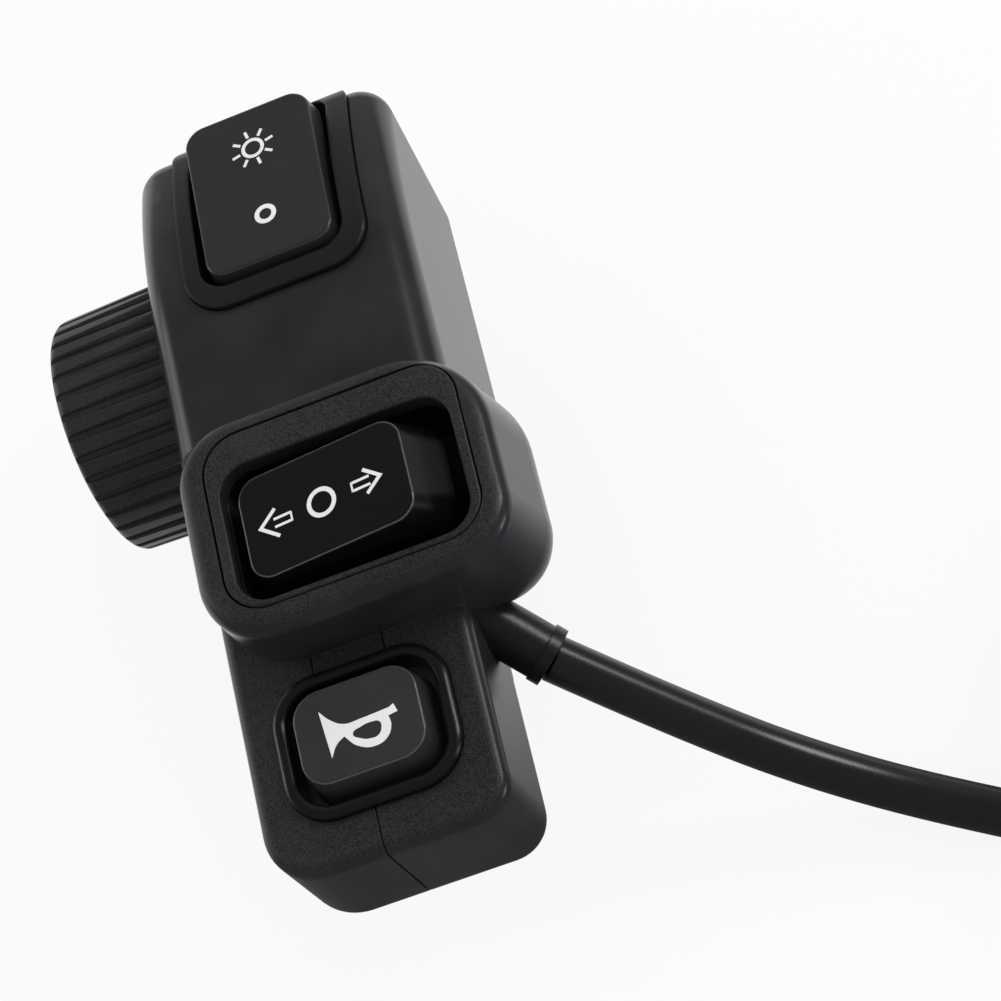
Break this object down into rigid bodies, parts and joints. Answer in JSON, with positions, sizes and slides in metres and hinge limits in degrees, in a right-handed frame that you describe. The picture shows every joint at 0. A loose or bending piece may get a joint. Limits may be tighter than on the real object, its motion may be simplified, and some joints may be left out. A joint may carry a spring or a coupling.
{
  "type": "handlebar combination switch",
  "caption": "Handlebar switch pod with a latching headlight rocker, turn signal rocker, sprung horn button, ribbed dial, bar clamp and cable with a plug.",
  "frame": {"origin": "on the handlebar's axis, inside the clamp", "axes": "+X along the handlebar, from the ribbed dial to the cable side; +Y up the housing, from the horn button to the headlight rocker; +Z out of the control faces, towards the rider"},
  "size_m": [0.1654, 0.1229, 0.047],
  "materials": {
    "housing_black": "fine grain satin",
    "bezel_black": "satin",
    "rocker_grey": "satin with polished edges",
    "button_black": "satin with polished edges",
    "dial_black": "satin, ribbed",
    "inner_black": "plain moulded",
    "board_green": "solder mask",
    "screw_steel": "zinc plated",
    "insert_brass": "knurled",
    "contact_brass": "stamped",
    "cable_rubber": "glossy jacket",
    "plug_nylon": "moulded nylon"
  },
  "bodies": {
    "housing": {"housing": "housing_black", "headlight_bezel": "bezel_black", "rear_cover": "housing_black", "horn_cover": "housing_black", "cover_screws": "screw_steel", "circuit_board": "board_green", "clamp_cap": "housing_black", "clamp_inserts": "insert_brass", "clamp_screws": "screw_steel", "headlight_base": "inner_black", "headlight_pin": "screw_steel", "headlight_detent": "contact_brass", "headlight_contacts": "contact_brass", "turn_bezel": "housing_black", "turn_base": "inner_black", "turn_pin": "screw_steel", "turn_detent": "contact_brass", "turn_contacts": "contact_brass", "horn_ring": "button_black", "horn_base": "inner_black", "horn_terminals": "contact_brass", "horn_spring": "screw_steel", "dial_switch": "inner_black", "dial_nut": "screw_steel", "cable_sleeve": "cable_rubber", "cable_entry": "cable_rubber", "cable_run": "cable_rubber", "cable_coil": "cable_rubber", "cable_tail": "cable_rubber", "plug_body": "plug_nylon", "plug_boot": "cable_rubber", "plug_pins": "contact_brass"},
    "headlight_rocker": {"headlight_rocker": "rocker_grey"},
    "turn_rocker": {"turn_rocker": "button_black"},
    "horn_button": {"horn_button": "button_black", "horn_contact": "contact_brass"},
    "dial": {"dial": "dial_black", "dial_shaft": "screw_steel"}
  },
  "joints": [
    {"name": "headlight_rock", "type": "hinge", "parent": "housing", "child": "headlight_rocker", "pos_m": [0.0028, 0.04208, 0.02036], "axis": [1, 0, 0], "range_deg": [-18, 0]},
    {"name": "turn_rock", "type": "hinge", "parent": "housing", "child": "turn_rocker", "pos_m": [0.0055, -0.003, 0.021], "axis": [0, 1, 0], "range_deg": [0, 14]},
    {"name": "horn_press", "type": "slide", "parent": "housing", "child": "horn_button", "axis": [0, 0, -1], "range_m": [0, 0.0015], "stiffness_N_per_m": 500, "springref_m": -0.003, "deforming": ["horn_spring"]},
    {"name": "dial_turn", "type": "hinge", "parent": "housing", "child": "dial", "pos_m": [-0.02, 0.0302, 0.0058], "axis": [1, 0, 0], "range_deg": [-135, 135]}
  ]
}
